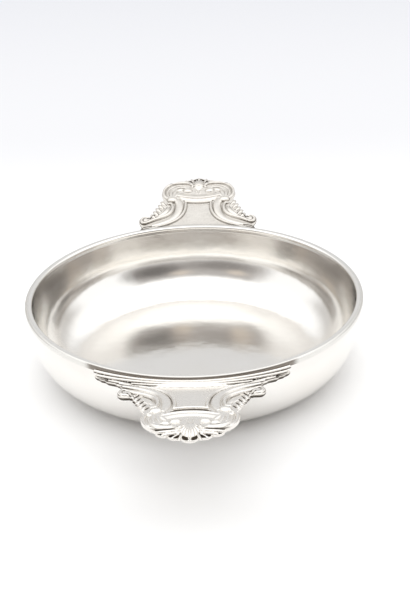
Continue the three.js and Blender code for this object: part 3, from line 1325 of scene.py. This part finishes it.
    def model(self) -> tuple[Piece, Piece]:
        """Model one ear, copy it with a mesh of its own, and set both in their places.

        Returns:
            The rear ear and the front ear.
        """
        plate = slab("ear_plate", self.plate_outline(), self.ground, self.plate_edge, self.plate_belly)
        outline = self.shell_outline()
        shell = slab("ear_shell", outline, self.shell_ground, self.shell_edge, self.shell_belly)
        for vertex in shell.data.vertices:
            vertex.co.z += self.shell_level(vertex.co.x) - self.shell_ground
        self.parts += [plate, shell]
        ornaments = (
            self.rim_reeds,
            self.feathers,
            self.frame_reeds,
            self.leaf,
            self.bar,
            self.lobe,
            self.sprig,
            self.husk,
            self.shell,
        )
        for ornament in ornaments:
            ornament()
        rear = self.cast("rear_ear_silver")
        self.mark_recesses_and_shade(rear)
        self.lighten(rear)
        pick(rear)
        bpy.ops.object.duplicate()
        front = bpy.context.object
        front.name = "front_ear_silver"
        # Painted shade, laid evenly over the rear ear only
        self.shade_rear_copy(rear)
        self.seat(rear, self.rear_tilt, self.rear_turn)
        self.seat(front, self.front_tilt, math.pi + self.front_turn)
        return rear, front

    def build(self) -> None:
        """Build both ears and dress them."""
        rear, front = self.model()
        material = self.finish.material()
        fit_out(rear, material, "rear_ear")
        fit_out(front, material, "front_ear")


# Studio


@dataclass(frozen=True)
class Zone:
    """Part of the surrounding light: low, high and softness, in degrees, of both its angles."""

    colour: Colour
    azimuth: Triple
    elevation: Triple
    mirrored: bool = False

    def share(self, graph: Graph, azimuth: Channel, elevation: Channel) -> Channel:
        """1 in the zone and 0 outside it, for a direction's azimuth from -Y and its elevation."""
        around = abs(azimuth) if self.mirrored else azimuth
        return graph.between(around, *self.azimuth) * graph.between(elevation, *self.elevation)


@dataclass(frozen=True)
class Patch:
    """Soft oval in the surrounding light: its middle and half of its size, in degrees."""

    colour: Colour
    azimuth: float
    elevation: float
    width: float
    height: float
    strength: float = 1.0

    def share(self, graph: Graph, azimuth: Channel, elevation: Channel) -> Channel:
        """Where the patch lies.

        Args:
            graph: World's nodes.
            azimuth: A direction's azimuth from -Y.
            elevation: The direction's elevation.

        Returns:
            The patch's strength in its middle and 0 outside it.
        """
        across = (azimuth - math.radians(self.azimuth)) / math.radians(self.width)
        up = (elevation - math.radians(self.elevation)) / math.radians(self.height)
        return graph.step((across * across + up * up).root(), 1.0, 0.2) * self.strength


@dataclass
class Studio:
    """Pale floor, soft surrounding light and the camera."""

    floor_size: float = 24.0
    floor_colour: Colour = (0.9, 0.9, 0.9, 1.0)
    far_tint: Colour = (0.66, 0.67, 0.705, 1.0)
    # Where the far tint and the painted glow around the bowl rise, in metres, and by how much: painted
    # light that leaves the floor close round the bowl's foot darker and lightens the shadow further out
    tint_rises: tuple[Triple, ...] = ((0.12, 0.35, 0.6), (0.3, 0.95, 0.4))
    painted_glow_rises: tuple[Triple, ...] = ((0.06, 0.092, 0.25), (0.11, 0.14, -0.1))
    # Light from all round, which brightens between two elevations in radians, and what stands in it
    low_light: Colour = (1.15, 1.15, 1.15, 1.0)
    high_light: Colour = (1.5, 1.5, 1.5, 1.0)
    light_rise: Pair = (0.5, 1.2)
    surroundings: tuple[Zone | Patch, ...] = (
        Zone((0.68, 0.665, 0.65, 1.0), (108, 252, 12), (-10, 31, 8), mirrored=True),
        Zone((0.78, 0.78, 0.785, 1.0), (160, 230, 9), (-10, 43, 10), mirrored=True),
        Zone((0.72, 0.665, 0.60, 1.0), (-75, 75, 10), (-20, 8, 3)),
        Zone((0.52, 0.495, 0.48, 1.0), (-56, 55, 10), (9, 48, 5)),
        Patch((0.3, 0.282, 0.27, 1.0), -20, 21, 40, 18),
        Patch((0.19, 0.1786, 0.171, 1.0), 32, 26, 34, 22),
        Patch((0.78, 0.69, 0.60, 1.0), -34, 34, 13, 9, 0.85),
        Patch((0.78, 0.69, 0.60, 1.0), 12, 38, 13, 9, 0.85),
    )
    # Camera, placed and aimed from the middle of the rim
    lens: float = 81.92
    distance: float = 0.7052
    azimuth: float = math.radians(1.88)
    elevation: float = math.radians(26.7)
    aim_right: float = 0.00756
    aim_up: float = -0.01106
    roll: float = math.radians(-1.9)
    rim_height: float = 40 * MM

    def build_floor(self) -> None:
        """Lay the floor."""
        bpy.ops.mesh.primitive_plane_add(size=self.floor_size, location=(0, 0, 0))
        floor = bpy.context.object
        floor.name = "floor"
        floor.data.materials.append(self.floor_material())

    def floor_material(self) -> bpy.types.Material:
        """Pale matt floor, a little cooler and darker far behind the bowl, with painted light around the
        bowl that lightens its shadow but leaves the floor close round its foot darker.

        Returns:
            The material.
        """
        material, graph = new_material("floor")
        x, y, _ = graph.parts(graph.add("ShaderNodeTexCoord", outlet="Object"))
        radius = (x * x + y * y).root()
        tint = sum(graph.step(y, start, end) * size for start, end, size in self.tint_rises)
        # Painted light on the floor around the bowl, seen straight, in mirrors and through glass
        painted_glow = sum(graph.step(radius, start, end) * size for start, end, size in self.painted_glow_rises)
        lift = self.seen_or_mirrored(graph) * painted_glow
        colour = graph.blend(tint, self.floor_colour, self.far_tint)
        sockets = {
            "Base Color": colour,
            "Roughness": 1.0,
            "Specular IOR Level": 0.0,
            "Emission Color": graph.scaled(colour, lift),
            "Emission Strength": 1.0,
        }
        matt = graph.add("ShaderNodeBsdfPrincipled", sockets)
        graph.add("ShaderNodeOutputMaterial", {"Surface": matt})
        return material

    @staticmethod
    def seen_or_mirrored(graph: Graph) -> Channel:
        """Tell what is seen from the light that falls on other things.

        Args:
            graph: Material's nodes.

        Returns:
            1 for what the camera sees straight, in a mirror or through glass, and 0 otherwise.
        """
        rays = graph.add("ShaderNodeLightPath").socket.node.outputs
        names = ("Is Camera Ray", "Is Glossy Ray", "Is Transmission Ray")
        camera, glossy, through = (Channel(graph.tree, rays[name]) for name in names)
        return (camera + glossy + through).at_most(1.0)

    def build_surroundings(self) -> None:
        """Light the scene from all round, with a dimmer room towards -Y."""
        world = bpy.data.worlds.new("studio")
        bpy.context.scene.world = world
        world.use_nodes = True
        graph = Graph(world.node_tree)
        x, y, z = graph.parts(graph.add("ShaderNodeTexCoord", outlet="Generated"))
        azimuth = x.angle_over(0 - y)
        elevation = z.arcsine()
        colour = graph.blend(graph.step(elevation, *self.light_rise), self.low_light, self.high_light)
        for region in self.surroundings:
            colour = graph.blend(region.share(graph, azimuth, elevation), colour, region.colour)
        background = graph.add("ShaderNodeBackground", {"Color": colour, "Strength": 1.0})
        graph.add("ShaderNodeOutputWorld", {"Surface": background})

    def build_camera(self) -> None:
        """Set the camera by its direction from the middle of the rim."""
        back = Vector(
            (
                math.sin(self.azimuth) * math.cos(self.elevation),
                -math.cos(self.azimuth) * math.cos(self.elevation),
                math.sin(self.elevation),
            )
        )
        right = Vector((math.cos(self.azimuth), math.sin(self.azimuth), 0))
        up = back.cross(right)
        rim_middle = Vector((0, 0, self.rim_height))
        aim = self.aim_right * right + self.aim_up * up - back
        bpy.ops.object.camera_add(location=rim_middle + self.distance * back)
        camera = bpy.context.object
        turn = aim.to_track_quat("-Z", "Y").to_matrix().to_4x4() @ Matrix.Rotation(self.roll, 4, "Z")
        camera.rotation_euler = turn.to_euler()
        camera.data.lens = self.lens
        bpy.context.scene.camera = camera

    def build(self) -> None:
        """Set up the floor, the light and the camera."""
        bpy.context.scene.view_settings.view_transform = "Standard"
        self.build_floor()
        self.build_surroundings()
        self.build_camera()


def main() -> None:
    """Build the studio and the object's pieces in order."""
    logging.basicConfig(level=logging.INFO, format="%(name)s: %(message)s")
    Studio().build()
    Bowl().build()
    Ear().build()


if __name__ == "__main__":
    main()
